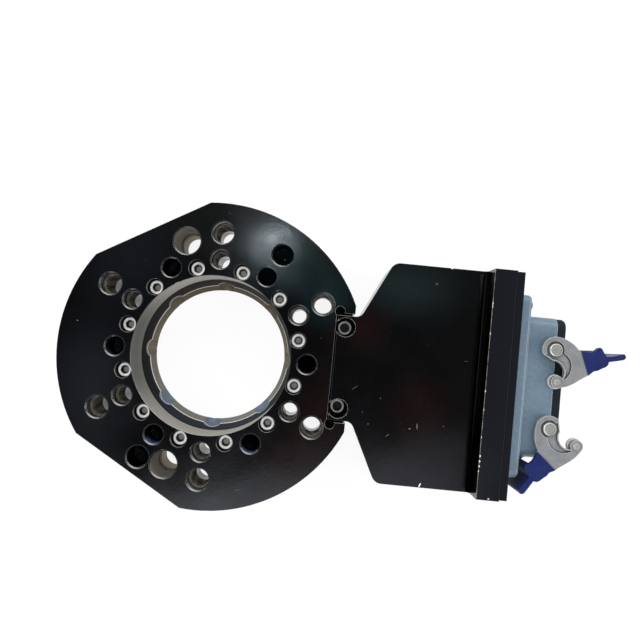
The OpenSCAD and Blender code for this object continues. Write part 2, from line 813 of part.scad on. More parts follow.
module connector_housing() {
    color(housing_blue) difference() {
        union() {
            translate([0, 0, mid_z]) {
                slab_x(flange_x, flange_end_x - 1)
                    round_rect(flange_half, flange_half_w, flange_round);
                slab_x(flange_end_x - 1 - eps, flange_end_x)
                    round_rect(flange_half - 0.6, flange_half_w - 0.6, flange_round - 0.6);
                slab_x(flange_end_x - eps, flange_end_x + 1)
                    round_rect(shell_half + 0.7, shell_half_w + 0.7, shell_round + 0.7);
                slab_x(flange_end_x, shell_end_x)
                    round_rect(shell_half, shell_half_w, shell_round);
            }
            at_pivots() pivot_ear();
        }
        translate([0, 0, mid_z]) {
            slab_x(ledge_x, shell_end_x + 5 + cut)
                round_rect(shell_cavity_half, shell_cavity_half_w, 4);
            slab_x(shell_end_x - seal_skirt, shell_end_x + 5 + cut)
                round_rect(shell_cavity_half + seal_lip, shell_cavity_half_w + seal_lip, 4 + seal_lip);
            slab_x(flange_x - cut, ledge_x + cut) round_rect(ledge_half, ledge_half_w, 3);
        }
        at_pivots() rod_z(pivot_r, pin_floor, arm_outer);
        at_flange_spots(flange_x - cut) rod_z(m4[0] + 0.2, 0, flange_t + 2 * cut);
        translate([0, 0, mid_z]) for (sy = [-1, 1], sz = [-1, 1])
            translate([flange_x + 0.8, sy * insert_screw_half, sz * insert_screw_half_w])
                rotate([0, 90, 0]) rod_z(m3[1] + fit_gap, 0, flange_t);
    }
}

module flange_screws() {
    dome_r = (m4[2] * m4[2] + m4[3] * m4[3]) / (2 * m4[3]);
    color(rubber_black) at_flange_spots(flange_end_x) difference() {
        union() {
            intersection() {
                translate([0, 0, m4[3] - dome_r]) sphere(r = dome_r);
                rod_z(m4[2], 0, m4[3] + cut);
            }
            rod_z(m4[0], -flange_t - flange_gasket_t + 0.5, eps);
            rod_z(m4[1], adapter_x - 1 - flange_end_x, -flange_t - flange_gasket_t + 0.5 + eps);
        }
        key_socket(2.5, m4[3], 1.4);
    }
}

module mouth_seal() {
    edge = seal_t - 1.2;
    color(rubber_black) translate([0, 0, mid_z]) difference() {
        union() {
            slab_x(shell_end_x, shell_end_x + edge)
                round_rect(shell_half - seal_setback, shell_half_w - seal_setback,
                    shell_round - seal_setback);
            slab_x(shell_end_x + edge - eps, seal_end_x)
                round_rect(shell_half - 1.1, shell_half_w - 1.1, shell_round - 1.1);
            slab_x(shell_end_x - seal_skirt, shell_end_x + eps)
                round_rect(shell_cavity_half + seal_lip, shell_cavity_half_w + seal_lip, 4 + seal_lip);
        }
        slab_x(shell_end_x - seal_skirt - cut, seal_end_x + cut)
            round_rect(shell_cavity_half, shell_cavity_half_w, 4);
    }
}

module at_sockets() {
    for (s = [-1, 1]) translate([0, 0, mid_z + s * contact_row_half])
        at_contact_columns() children();
}

module contact_insert() {
    color(insert_grey) difference() {
        translate([0, 0, mid_z]) {
            slab_x(ledge_x, ledge_x + insert_base_t) round_rect(insert_half, insert_half_w, 3.75);
            slab_x(ledge_x, insert_top_x) round_rect(insert_core_half, insert_core_half_w, 2);
            slab_x(insert_top_x - eps, insert_rib_x) translate([5, 0])
                square([34, 5], center = true);
        }
        at_sockets() translate([ledge_x - cut, 0, 0]) rotate([0, 90, 0])
            cylinder(r = 2.1, h = insert_top_x - ledge_x + 4);
        translate([0, 0, mid_z]) for (sy = [-1, 1], sz = [-1, 1])
            translate([ledge_x - cut, sy * insert_screw_half, sz * insert_screw_half_w])
                rotate([0, 90, 0]) rod_z(m3[0] + 0.1, 0, insert_base_t + 2 * cut);
        translate([0, 0, mid_z]) for (s = [-1, 1])
            translate([ledge_x - cut, s * insert_screw_half, 0])
                rotate([0, 90, 0]) rod_z(m4[0] + fit_gap, 0, insert_base_t + 2 * cut);
    }
}

module contact_sockets() {
    color(brass_gold) at_sockets() difference() {
        translate([tail_x, 0, 0]) rotate([0, 90, 0])
            rod_z(2.1 - fit_gap, 0, insert_top_x - 3 - tail_x);
        translate([insert_top_x - 12, 0, 0]) rotate([0, 90, 0]) rod_z(1.3, 0, 12);
    }
}

module insert_screws() {
    seat = ledge_x + insert_base_t;
    color(bright_steel) translate([0, 0, mid_z]) for (sy = [-1, 1], sz = [-1, 1])
        translate([seat, sy * insert_screw_half, sz * insert_screw_half_w]) rotate([0, 90, 0])
            cap_screw([m3[0], m3[1], 2.5, 2.5], 0, -insert_base_t + 0.5, flange_x + 1.5 - seat, 2.5);
}

module earth_terminals() {
    seat = ledge_x + insert_base_t;
    color(brass_gold) translate([0, 0, mid_z]) for (s = [-1, 1])
        translate([seat, s * insert_screw_half, 0]) {
            translate([0, -3.5, -5]) cube([1.5, 7, 10]);
            rotate([0, 90, 0]) {
                cap_screw([m4[0], m4[0], 3.2, 2.4], 1.5 - eps, 1, -insert_base_t, 3);
            }
        }
}

// ---------- locking levers, drawn closed with the pivot at the origin ----------

module arm_outline() {
    sweep = [-1, -12];
    sweep_r = 20.4;
    translate(tip) circle(r = tip_r);
    difference() {
        union() {
            circle(r = eye_r);
            intersection() {
                translate(sweep) circle(r = sweep_r, $fn = 120);
                polygon([
                    [-1.5, 0], [-1.5, 9], [grip_start[0] + 1, 9], grip_start, grip_end,
                    [17.2, -16.7], [13.2, -19.6], [9.2, -21.9], [3.6, -23.6], tip
                ]);
            }
            polygon([
                [12, 0], grip_start, grip_end, [17.2, -16.7], [13.2, -19.6], [9.2, -21.9],
                [3.6, -23.7], tip, [8, -16]
            ]);
        }
        translate(hook_centre) circle(r = hook_r);
        polygon([[-9, -2.2], [-1.2, -6.8], [-1.2, -9], [-9, -9]]);
    }
}

module arm_recess_outline() {
    rim = 0.8;
    difference() {
        union() {
            circle(r = web_eye_r);
            translate(web_centre) circle(r = web_r);
        }
        translate(hook_centre) circle(r = hook_r + rim);
        translate(tip) circle(r = tip_r);
        polygon([[-9, -1.4], [-1.2, -6], [-1.2, -20], [-9, -20]]);
    }
}

module tongue_outline(gap) {
    translate(grip_middle) rotate(grip_tilt) translate([-2, -tongue_w / 2 - gap])
        square([tongue_l + 2 + gap, tongue_w + 2 * gap]);
}

// one arm, lying between the two given heights above the connector's middle
module arm() {
    middle = (arm_inner + arm_outer) / 2;
    difference() {
        union() {
            slab_z(arm_inner, arm_outer) arm_outline();
            slab_z(middle - tongue_t / 2, middle + tongue_t / 2) tongue_outline(0);
        }
        rod_z(pivot_r + run_gap, arm_inner - cut, arm_outer + cut);
        translate([tip[0], tip[1], 0]) rod_z(roller_pin_r, arm_inner - cut, arm_outer + cut);
        slab_z(arm_outer - arm_recess, arm_outer + cut) arm_recess_outline();
    }
}

module pivot_pin() {
    under_head = arm_outer - arm_recess + 0.1;
    head_top_z = arm_outer + head_h;
    bevel = 0.5;
    rod_z(pivot_r, pin_floor, under_head + eps);
    rod_z(head_r, under_head, head_top_z - bevel);
    translate([0, 0, head_top_z - bevel]) cylinder(r1 = head_r, r2 = head_r - bevel, h = bevel);
}

module lever_pivots() {
    color(bright_steel) at_pivots() pivot_pin();
}

module roller_pin() {
    translate([tip[0], tip[1], 0]) {
        rod_z(roller_pin_r, roller_inner - pin_end_t - 0.1, arm_outer + eps);
        translate([0, 0, arm_outer]) cylinder(r1 = 2.3, r2 = 1.5, h = 0.8);
        rod_z(2.2, roller_inner - pin_end_t - 0.1, roller_inner - 0.1);
    }
}

module roller() {
    step = 0.7;
    translate([tip[0], tip[1], 0]) difference() {
        union() {
            rod_z(roller_r, roller_inner, roller_inner + roller_w - step);
            rod_z(roller_r - 0.5, roller_inner, roller_inner + roller_w);
        }
        rod_z(roller_pin_r + run_gap, roller_inner - cut, arm_inner);
    }
}

module grip_outline() {
    polygon([
        grip_start, [20.4, 0.6], [22.4, 0.9], [24.7, 2], [26.5, 3.8], [27.6, 4.1], [28.6, 3.5],
        [30.2, 1], [31.9, -1], [34.5, -1], [40, 0.7], [42.4, 1.5], [43.4, 1], [43.9, -0.3],
        [43.4, -1.6], [42.2, -2.3], [38.6, -3.2], [33.5, -4.3], [33.1, -6.2], [31.8, -7.6],
        [30.2, -8.4], [26.8, -10.4], [24.5, -11], [22.8, -12.6], grip_end
    ]);
}

// cross-bar that joins the two cheeks
module bar_outline() {
    polygon([
        [24.6, 1.7], [26.3, 2.1], [30, 0.7], [31.9, -1], [34.5, -1], [40, 0.7], [42.4, 1.5],
        [43.4, 1], [43.9, -0.3], [43.4, -1.6], [42.2, -2.3], [38.6, -3.2], [33.5, -4.3],
        [30.2, -3.4], [27.6, -1.2]
    ]);
}

module grip() {
    cheek_outer = arm_outer + cheek_lap;
    middle = (arm_inner + arm_outer) / 2;
    slot = tongue_t / 2 + tongue_gap;
    for (mz = [0, 1]) mirror([0, 0, mz]) difference() {
        slab_z(arm_inner, cheek_outer) grip_outline();
        slab_z(middle - slot, middle + slot) tongue_outline(tongue_gap);
    }
    slab_z(-arm_inner - eps, arm_inner + eps) bar_outline();
}

module upper_place() {
    translate([pivot_x, pivot_half, mid_z]) children();
}

module lower_place() {
    translate([pivot_x, -pivot_half, mid_z]) rotate(-lever_travel) mirror([0, 1, 0]) children();
}

module rear_side() {
    mirror([0, 0, 1]) children();
}

module upper_arm_front() { color(lever_grey) upper_place() arm(); }
module upper_arm_rear() { color(lever_grey) upper_place() rear_side() arm(); }
module upper_grip() { color(grip_blue) upper_place() grip(); }
module upper_roller_front() { color(bright_steel) upper_place() roller(); }
module upper_roller_rear() { color(bright_steel) upper_place() rear_side() roller(); }
module upper_roller_pins() {
    color(lever_grey) upper_place() { roller_pin(); rear_side() roller_pin(); }
}
module lower_arm_front() { color(lever_grey) lower_place() arm(); }
module lower_arm_rear() { color(lever_grey) lower_place() rear_side() arm(); }
module lower_grip() { color(grip_blue) lower_place() grip(); }
module lower_roller_front() { color(bright_steel) lower_place() roller(); }
module lower_roller_rear() { color(bright_steel) lower_place() rear_side() roller(); }
module lower_roller_pins() {
    color(lever_grey) lower_place() { roller_pin(); rear_side() roller_pin(); }
}

tool_plate();
locking_ring();
ring_screws();
outer_thread_inserts();
inner_thread_inserts();
guide_bushes();
module_body();
module_bolts();
locating_pins();
base_cover();
cover_screws();
signal_block();
signal_pads();
block_seal();
block_screws();
wire_loom();
head_gasket();
connector_plate();
plate_screws();
flange_gasket();
connector_housing();
flange_screws();
mouth_seal();
contact_insert();
contact_sockets();
insert_screws();
earth_terminals();
lever_pivots();
upper_arm_front();
upper_arm_rear();
upper_grip();
upper_roller_pins();
upper_roller_front();
upper_roller_rear();
lower_arm_front();
lower_arm_rear();
lower_grip();
lower_roller_pins();
lower_roller_front();
lower_roller_rear();
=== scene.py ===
"""Looks for the tool-side plate of a robotic tool changer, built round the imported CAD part."""

import json
import math

import bpy
from mathutils import Matrix, Vector

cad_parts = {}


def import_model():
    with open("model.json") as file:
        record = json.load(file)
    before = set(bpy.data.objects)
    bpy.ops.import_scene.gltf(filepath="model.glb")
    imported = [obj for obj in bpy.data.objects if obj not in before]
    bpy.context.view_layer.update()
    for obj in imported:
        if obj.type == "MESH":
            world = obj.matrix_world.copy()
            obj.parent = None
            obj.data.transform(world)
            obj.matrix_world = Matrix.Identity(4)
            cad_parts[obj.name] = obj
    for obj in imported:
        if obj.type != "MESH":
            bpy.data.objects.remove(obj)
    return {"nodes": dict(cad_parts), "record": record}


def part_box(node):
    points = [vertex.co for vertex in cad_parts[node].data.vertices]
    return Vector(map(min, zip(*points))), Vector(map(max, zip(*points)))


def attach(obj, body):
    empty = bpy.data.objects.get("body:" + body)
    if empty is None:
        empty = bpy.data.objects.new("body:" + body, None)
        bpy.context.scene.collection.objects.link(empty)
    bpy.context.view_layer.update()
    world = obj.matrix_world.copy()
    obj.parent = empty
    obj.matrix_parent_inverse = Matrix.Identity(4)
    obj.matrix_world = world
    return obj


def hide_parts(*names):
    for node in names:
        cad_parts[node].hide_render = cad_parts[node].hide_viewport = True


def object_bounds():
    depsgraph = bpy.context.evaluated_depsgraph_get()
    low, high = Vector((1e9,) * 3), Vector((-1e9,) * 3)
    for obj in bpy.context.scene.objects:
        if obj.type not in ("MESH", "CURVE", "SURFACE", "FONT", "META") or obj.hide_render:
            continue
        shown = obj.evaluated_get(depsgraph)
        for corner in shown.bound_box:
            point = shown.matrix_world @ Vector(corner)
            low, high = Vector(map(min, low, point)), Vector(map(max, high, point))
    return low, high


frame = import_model()
cad_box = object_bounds()
scene = bpy.context.scene

MM = 0.001


# ---------------------------------------------------------------- node helpers

def linear(rgb):
    """A screen colour from 0 to 255 as the linear colour that the shader takes."""
    out = []
    for c in rgb:
        c = c / 255
        out.append(c / 12.92 if c <= 0.04045 else ((c + 0.055) / 1.055) ** 2.4)
    return (*out, 1.0)


class Nodes:
    """Short calls that add nodes to one tree and give back their output sockets."""

    def __init__(self, tree):
        self.tree = tree

    def node(self, kind, **settings):
        made = self.tree.nodes.new(kind)
        for key, value in settings.items():
            setattr(made, key, value)
        return made

    def link(self, source, target):
        self.tree.links.new(source, target)

    def put(self, target, value):
        """Sets a socket to a number, a colour or another node's output."""
        if isinstance(value, bpy.types.NodeSocket):
            self.link(value, target)
        else:
            target.default_value = value

    def math(self, operation, a, b=0.0, c=0.0):
        made = self.node("ShaderNodeMath", operation=operation)
        for socket, value in zip(made.inputs, (a, b, c)):
            self.put(socket, value)
        return made.outputs[0]

    def plus(self, a, b):
        return self.math("ADD", a, b)

    def minus(self, a, b):
        return self.math("SUBTRACT", a, b)

    def times(self, first, *others):
        for other in others:
            first = self.math("MULTIPLY", first, other)
        return first

    def most(self, first, *others):
        for other in others:
            first = self.math("MAXIMUM", first, other)
        return first

    def absolute(self, a):
        return self.math("ABSOLUTE", a)

    def above(self, value, limit):
        """1 where the value is over the limit, else 0."""
        return self.math("GREATER_THAN", value, limit)

    def below(self, value, limit):
        """1 where the value is under the limit, else 0."""
        return self.math("LESS_THAN", value, limit)

    def distance(self, dx, dy):
        """Length of the step (dx, dy)."""
        return self.math("SQRT", self.plus(self.times(dx, dx), self.times(dy, dy)))

    def mix(self, share, a, b):
        made = self.node("ShaderNodeMix", data_type="RGBA")
        self.put(made.inputs["Factor"], share)
        self.put(made.inputs["A"], a)
        self.put(made.inputs["B"], b)
        return made.outputs["Result"]

    def span(self, value, low, high, to_low=0.0, to_high=1.0):
        """A soft ramp: to_low up to the value low, and to_high from the value high on."""
        made = self.node("ShaderNodeMapRange", interpolation_type="SMOOTHSTEP")
        for key, v in (("Value", value), ("From Min", low), ("From Max", high),
                       ("To Min", to_low), ("To Max", to_high)):
            self.put(made.inputs[key], v)
        return made.outputs["Result"]

    def split(self, vector):
        made = self.node("ShaderNodeSeparateXYZ")
        self.link(vector, made.inputs[0])
        return made.outputs


class Look(Nodes):
    """One procedural material."""

    def __init__(self, name, roughness=0.5, metallic=0.0, specular=0.5):
        self.material = bpy.data.materials.new(name)
        self.material.use_nodes = True
        super().__init__(self.material.node_tree)
        self.shader = self.tree.nodes["Principled BSDF"]
        self.shader.inputs["Roughness"].default_value = roughness
        self.shader.inputs["Metallic"].default_value = metallic
        self.shader.inputs["Specular IOR Level"].default_value = specular
        self.place = self.node("ShaderNodeTexCoord").outputs["Object"]

    def stretched(self, scale):
        made = self.node("ShaderNodeMapping")
        self.link(self.place, made.inputs["Vector"])
        made.inputs["Scale"].default_value = scale
        return made.outputs["Vector"]

    def noise(self, scale, detail=4.0, rough=0.55, vector=None):
        made = self.node("ShaderNodeTexNoise")
        self.link(vector or self.place, made.inputs["Vector"])
        made.inputs["Scale"].default_value = scale
        made.inputs["Detail"].default_value = detail
        made.inputs["Roughness"].default_value = rough
        return made.outputs["Fac"]

    def axes(self):
        return self.split(self.place)

    def radius(self):
        """Distance from the axis of the bore."""
        x, y, _ = self.axes()
        return self.distance(x, y)

    def open_air(self, reach, samples=4):
        """1 on open faces, less in corners closer than reach."""
        made = self.node("ShaderNodeAmbientOcclusion", samples=samples)
        made.inputs["Distance"].default_value = reach
        return made.outputs["AO"]

    def rounded_normal(self, radius):
        made = self.node("ShaderNodeBevel", samples=4)
        made.inputs["Radius"].default_value = radius
        return made.outputs[0]

    def edges(self, size):
        """1 along the sharp outer edges, 0 on the faces and in the inner corners."""
        self.bent = self.rounded_normal(size)
        true = self.node("ShaderNodeNewGeometry")
        dot = self.node("ShaderNodeVectorMath", operation="DOT_PRODUCT")
        self.link(self.bent, dot.inputs[0])
        self.link(true.outputs["Normal"], dot.inputs[1])
        turned_off = self.span(self.minus(1.0, dot.outputs["Value"]), 0.004, 0.10)
        return self.times(turned_off, self.span(self.open_air(3 * size), 0.72, 0.92))

    def bump(self, height, strength, distance, rounded=0.0):
        made = self.node("ShaderNodeBump")
        made.inputs["Strength"].default_value = strength
        made.inputs["Distance"].default_value = distance
        self.link(height, made.inputs["Height"])
        if rounded:
            self.link(self.rounded_normal(rounded), made.inputs["Normal"])
        self.link(made.outputs[0], self.shader.inputs["Normal"])

    def colour(self, value):
        self.put(self.shader.inputs["Base Color"], value)

    def rough(self, value):
        self.put(self.shader.inputs["Roughness"], value)

    def metal(self, value):
        self.put(self.shader.inputs["Metallic"], value)


# ---------------------------------------------------------------- looks

# heights of the plate and of the ring in it, length and place of the module's raised head
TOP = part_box("tool_plate")[1][2]
RING_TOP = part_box("locking_ring")[1][2]
HEAD_RUN = 0.0142
HEAD_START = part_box("head_gasket")[0][0] - HEAD_RUN
HEAD_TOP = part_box("module_body")[1][2]

# radius of the two bolt circles
OUTER_CIRCLE, INNER_CIRCLE = 0.080, 0.0625


def oval(look, x0, y0, rx, ry, turn=0):
    """Distance from the middle of a spot seen from above: 1 on the rim of its oval."""
    moved = look.node("ShaderNodeMapping", vector_type="TEXTURE")
    look.link(look.place, moved.inputs["Vector"])
    moved.inputs["Location"].default_value = (x0 * MM, y0 * MM, 0)
    moved.inputs["Rotation"].default_value = (0, 0, math.radians(turn))
    moved.inputs["Scale"].default_value = (rx * MM, ry * MM, 1000.0)
    size = look.node("ShaderNodeVectorMath", operation="LENGTH")
    look.link(moved.outputs[0], size.inputs[0])
    return size.outputs["Value"]


def patch(look, x0, y0, rx, ry):
    """A soft patch, 1 in its middle and 0 at its rim."""
    return look.span(oval(look, x0, y0, rx, ry), 1.0, 0.0)


def mark(look, x0, y0, half_long, half_wide, turn):
    """One short scratch or chip, 1 on it."""
    return look.span(oval(look, x0, y0, half_long, half_wide, turn), 1.1, 0.7)


def turning(look, z, pitch):
    """Fine turned rings along Z, from -1 to 1."""
    return look.math("SINE", look.times(z, 2 * math.pi / pitch))


def toward_far_side(look, nx, ny):
    """How far a face or edge turns toward +Y and a little toward +X."""
    return look.plus(look.times(nx, 0.35), look.times(ny, 0.94))


def folded(look, step, start):
    """Place turned into one sector of a circle of equal features, as x and y."""
    x, y, _ = look.axes()
    angle = look.math("ARCTAN2", y, x)
    turned = look.plus(angle, math.radians(step / 2 - start) + 2 * math.pi)
    inside = look.minus(look.math("MODULO", turned, math.radians(step)), math.radians(step / 2))
    r = look.radius()
    return (look.times(r, look.math("COSINE", inside)), look.times(r, look.math("SINE", inside)))


def near(look, x, y, x0, y0, r):
    """1 within r of an upright axis, in millimetres."""
    return look.below(look.distance(look.minus(x, x0 * MM), look.minus(y, y0 * MM)), r * MM)


def anodised(name, tints, edge_colour, marks, chips):
    """Black anodised coat: soft tints, faint grain, light edges from wear and painted highlight, and a few
    real marks.

    The look keeps its face directions, rim and gloss for what is drawn over the coat.
    """
    shine = 0.13
    look = Look(name, roughness=shine, specular=0.30)
    colour = look.mix(look.span(look.noise(9.0, 3.0), 0.35, 0.7, 0, 0.5), linear((4, 4, 5)),
                      linear((7, 8, 8)))
    for tint, share, spots in tints:
        for spot in spots:
            colour = look.mix(look.times(patch(look, *spot), share), colour, linear(tint))
    grain = look.span(look.noise(1500.0, 2.0), 0.55, 0.75, 0, 0.05)
    colour = look.mix(grain, colour, linear((44, 46, 48)))
    dust = look.span(look.noise(1000.0, 0.0, 0.3), 0.845, 0.88, 0, 0.10)
    colour = look.mix(dust, colour, linear((88, 90, 90)))
    look.facing = look.split(look.node("ShaderNodeNewGeometry").outputs["True Normal"])
    face_up = look.above(look.facing["Z"], 0.5)
    for x0, y0, long, wide, turn, share in marks:
        tone = (150, 148, 143) if share < 1 else (226, 224, 218)
        spot = look.times(mark(look, x0, y0, long, wide, turn), face_up)
        colour = look.mix(look.times(spot, min(share, 1.0)), colour, linear(tone))
    look.rim = look.edges(0.0004)
    # the light rim on the sharp edges is part wear and part painted highlight
    colour = look.mix(look.times(look.rim, 0.5), colour, edge_colour)
    # a painted highlight on the edges that face +Y
    bent = look.split(look.bent)
    rubbed_and_lit = look.span(toward_far_side(look, bent["X"], bent["Y"]), 0.12, 0.40, 0, 0.6)
    colour = look.mix(look.times(rubbed_and_lit, look.rim), colour, linear((200, 201, 198)))
    worn = look.span(look.noise(210.0, 3.0, 0.6), chips, chips + 0.03)
    colour = look.mix(look.times(look.rim, worn), colour, linear((206, 204, 198)))
    look.gloss = look.span(look.noise(45.0, 4.0), 0.3, 0.7, shine - 0.02, shine + 0.04)
    look.rough(look.gloss)
    look.bump(look.plus(look.noise(420.0, 4.0), look.times(look.noise(2600.0, 2.0), 0.05)), 0.3, 0.00005)
    return look, colour


def plate_look():
    """Black coat on the faces, bare turned metal in the bore and in the two guide holes."""
    marks = [(-61, -30, 1.2, 0.10, 70, 0.5), (26, -84, 1.6, 0.09, 20, 0.4), (-88, 14, 0.5, 0.3, 0, 0.5),
             (70, 18, 0.7, 0.08, 130, 0.4), (-38, 84, 0.5, 0.10, 40, 0.5), (3, 93, 0.9, 0.08, 150, 0.4)]
    tints = [((13, 27, 29), 0.85, [(42, 66, 44, 34), (72, 44, 24, 28)]),
             ((12, 15, 19), 0.8, [(-60, 55, 50, 50)]), ((22, 24, 28), 0.8, [(-75, -30, 44, 70)]),
             ((20, 8, 6), 0.6, [(76, -32, 30, 40), (60, -62, 34, 30), (84, 20, 16, 20)])]
    look, colour = anodised("plate_anodise_look", tints, linear((104, 108, 110)), marks, chips=0.66)
    x, y, z = look.axes()
    off_middle = look.absolute(y)
    # the light rim round the relief is part wear and part painted highlight
    relief = near(look, x, off_middle, 82, 37, 8.5)
    rubbed_and_lit = look.times(relief, look.span(look.noise(420.0, 2.0), 0.4, 0.6, 0.25, 0.9))
    colour = look.mix(look.times(look.rim, rubbed_and_lit), colour, linear((168, 168, 164)))

    # the bare walls, lighter where daylight reaches them
    guide_circle, guide_turn = 76, math.radians(107.5)
    guide_x, guide_y = guide_circle * math.cos(guide_turn), guide_circle * math.sin(guide_turn)
    guides = near(look, x, off_middle, guide_x, guide_y, 9.0)
    bore = look.below(look.radius(), 52.2 * MM)
    bare = look.most(look.times(bore, look.below(z, TOP - 0.0003)),
                     look.times(guides, look.below(z, TOP - 0.0011)))
    bare = look.times(bare, look.above(z, 0.0003))
    wall = look.mix(look.span(turning(look, z, 0.0006), -1, 1, 0.0, 0.35), linear((66, 67, 62)),
                    linear((52, 53, 49)))
    wall = look.mix(look.span(look.noise(30.0, 4.0), 0.35, 0.7, 0, 0.6), wall, linear((76, 76, 70)))
    wall = look.mix(look.span(z, RING_TOP + 0.013, RING_TOP + 0.002, 0, 0.8), wall, linear((92, 91, 85)))
    lit = look.most(look.span(off_middle, 0.016, 0.048), look.span(x, 0.0, 0.048))
    wall = look.mix(look.times(lit, 0.9), wall, linear((146, 142, 134)))
    wall = look.mix(look.times(guides, 0.85), wall, linear((84, 72, 54)))

    # bevels of the hole rims with a painted highlight on those facing +Y, and a painted blue reflection on
    # the near walls of the blind holes
    nx, ny, nz = look.facing
    hole_bevel = look.times(look.above(nz, 0.3), look.below(nz, 0.95), look.above(z, TOP - 0.0014))
    lit_bevel = look.span(toward_far_side(look, nx, ny), 0.50, 0.80, 0, 0.5)
    colour = look.mix(look.times(hole_bevel, lit_bevel), colour, linear((216, 216, 212)))
    _, off_blind_hole = folded(look, 60, 0)
    near_wall = look.times(look.below(nz, 0.3), look.below(look.radius(), 0.085),
                           look.span(ny, 0.25, 0.8), look.span(z, TOP - 0.016, TOP - 0.003),
                           look.span(x, 0.050, 0.030), look.below(look.absolute(off_blind_hole),
                                                                  0.0075))
    blue_sheen = look.times(near_wall, look.span(y, 0.010, -0.030, 0, 0.9))
    colour = look.mix(blue_sheen, colour, linear((72, 96, 140)))
    look.rough(look.most(look.times(bare, 0.5), look.gloss))
    look.colour(look.mix(bare, colour, wall))
    look.metal(look.times(bare, 0.35))
    return look.material


def module_look():
    """Black coat of the module: warm tints in the middle, slate on the raised head."""
    edge = HEAD_START / MM
    marks = [(137.1, -32.8, 0.28, 2.1, 6, 0.5), (132.5, -34.7, 0.8, 0.30, 10, 0.5),
             (94.8, -11.8, 2.4, 0.12, 40, 0.3), (118.5, -40.3, 1.9, 0.16, 40, 0.3),
             (164.9, 12, 1.5, 0.14, 0, 0.3), (105.5, -34.2, 0.5, 0.4, 0, 0.25),
             (112, -17, 0.25, 0.6, 0, 0.25), (141.6, 60.2, 0.9, 0.8, 0, 0.14),
             (150.6, 71.4, 0.7, 0.6, 0, 1.2), (142.1, -69.9, 0.42, 1.6, -22, 1.6),
             (154, -31, 0.5, 0.3, 0, 0.3), (101, -27, 0.9, 0.10, 80, 0.25)]
    nicks = [(edge, 49.6, 0.5, 1.0, 0, 1.0), (edge, 47.6, 0.45, 0.7, 0, 0.9),
             (edge, 30.6, 0.45, 0.8, 0, 0.9), (edge, -5.0, 0.45, 0.8, 0, 0.9),
             (edge, -16.4, 0.45, 0.6, 0, 0.8), (edge, -33.4, 0.4, 0.7, 0, 0.8),
             (edge + 0.1, -45.0, 0.7, 0.8, 0, 1.0), (edge + 0.2, -48.2, 0.6, 0.6, 0, 1.0),
             (edge + 0.1, -51.2, 0.6, 0.7, 0, 1.0), (edge, -54.2, 0.5, 0.5, 0, 0.9),
             (edge + 7.6, -70.4, 0.7, 0.5, 0, 0.6)]
    # the slate patch round (130, -70) mm is a painted reflection of lighter surroundings
    tints = [((20, 28, 29), 0.8, [(122, 56, 56, 30)]),
             ((21, 8, 7), 0.65, [(96, 28, 26, 26), (138, -22, 34, 34)]),
             ((18, 18, 23), 0.6, [(130, -70, 75, 30)])]
    look, colour = anodised("module_anodise_look", tints, linear((84, 88, 94)), marks, chips=0.70)
    x, y, z = look.axes()
    # the light rim round the bolt sinks is part wear and part painted highlight
    bolt_sink = near(look, x, look.absolute(y), 85.3, 26.4, 7.4)
    rubbed_and_lit = look.times(bolt_sink, look.span(look.noise(260.0, 2.0), 0.35, 0.6, 0.3, 1.0))
    colour = look.mix(look.times(look.rim, rubbed_and_lit), colour, linear((186, 184, 178)))
    on_head = look.above(z, HEAD_TOP - 0.010)
    colour = look.mix(look.times(on_head, 0.75), colour, linear((15, 17, 23)))
    top = look.above(z, HEAD_TOP - 0.0005)
    front_line = look.times(top, look.below(x, (edge + 0.22) * MM))
    streak = look.span(look.noise(1.0, 4.0, 0.7, look.stretched((40, 220, 40))), 0.35, 0.6, 0.15, 0.7)
    colour = look.mix(look.times(front_line, streak), colour, linear((150, 148, 138)))
    for x0, y0, long, wide, turn, share in nicks:
        nick = look.times(mark(look, x0, y0, long, wide, turn), top)
        colour = look.mix(look.times(nick, share), colour, linear((206, 204, 196)))

    # painted shade: the head's front and the fillet at its foot are made near-black metal, so that they
    # take no light from the side
    front = look.times(look.above(x, HEAD_START - 0.0027), look.below(z, HEAD_TOP - 0.0008),
                       look.below(x, HEAD_START + 0.0002), look.above(z, HEAD_TOP - 0.01705))
    colour = look.mix(front, colour, linear((5, 5, 6)))
    look.metal(look.times(front, 0.95))
    # a painted highlight on the edges of the flank round (92, -53) mm
    flank = near(look, x, y, 92, -53, 17)
    look.colour(look.mix(look.times(look.rim, flank, 0.7), colour, linear((176, 176, 174))))
    return look.material


def metal(name, light, dark, edge_light, metallic):
    """Worn bare metal in two tones with light or dull edges, the light ones a painted highlight, and its
    colour to draw on.
    """
    look = Look(name, roughness=0.32, metallic=metallic)
    colour = look.mix(look.span(look.noise(900.0, 3.0), 0.35, 0.7), light, dark)
    colour = look.mix(look.span(look.noise(90.0, 4.0), 0.42, 0.68, 0, 0.45), colour, dark)
    # the edge tone on the edges, a painted highlight where it is light
    colour = look.mix(look.times(look.edges(0.0003), 0.7), colour, edge_light)
    look.rough(look.span(look.noise(300.0, 3.0), 0.3, 0.7, 0.26, 0.44))
    look.bump(look.noise(1800.0, 2.0), 0.10, 0.00002, rounded=0.0002)
    return look, colour


def metal_look(name, light, dark, edge_light, metallic):
    """Bare metal with nothing more drawn on it."""
    look, colour = metal(name, light, dark, edge_light, metallic)
    look.colour(colour)
    return look.material


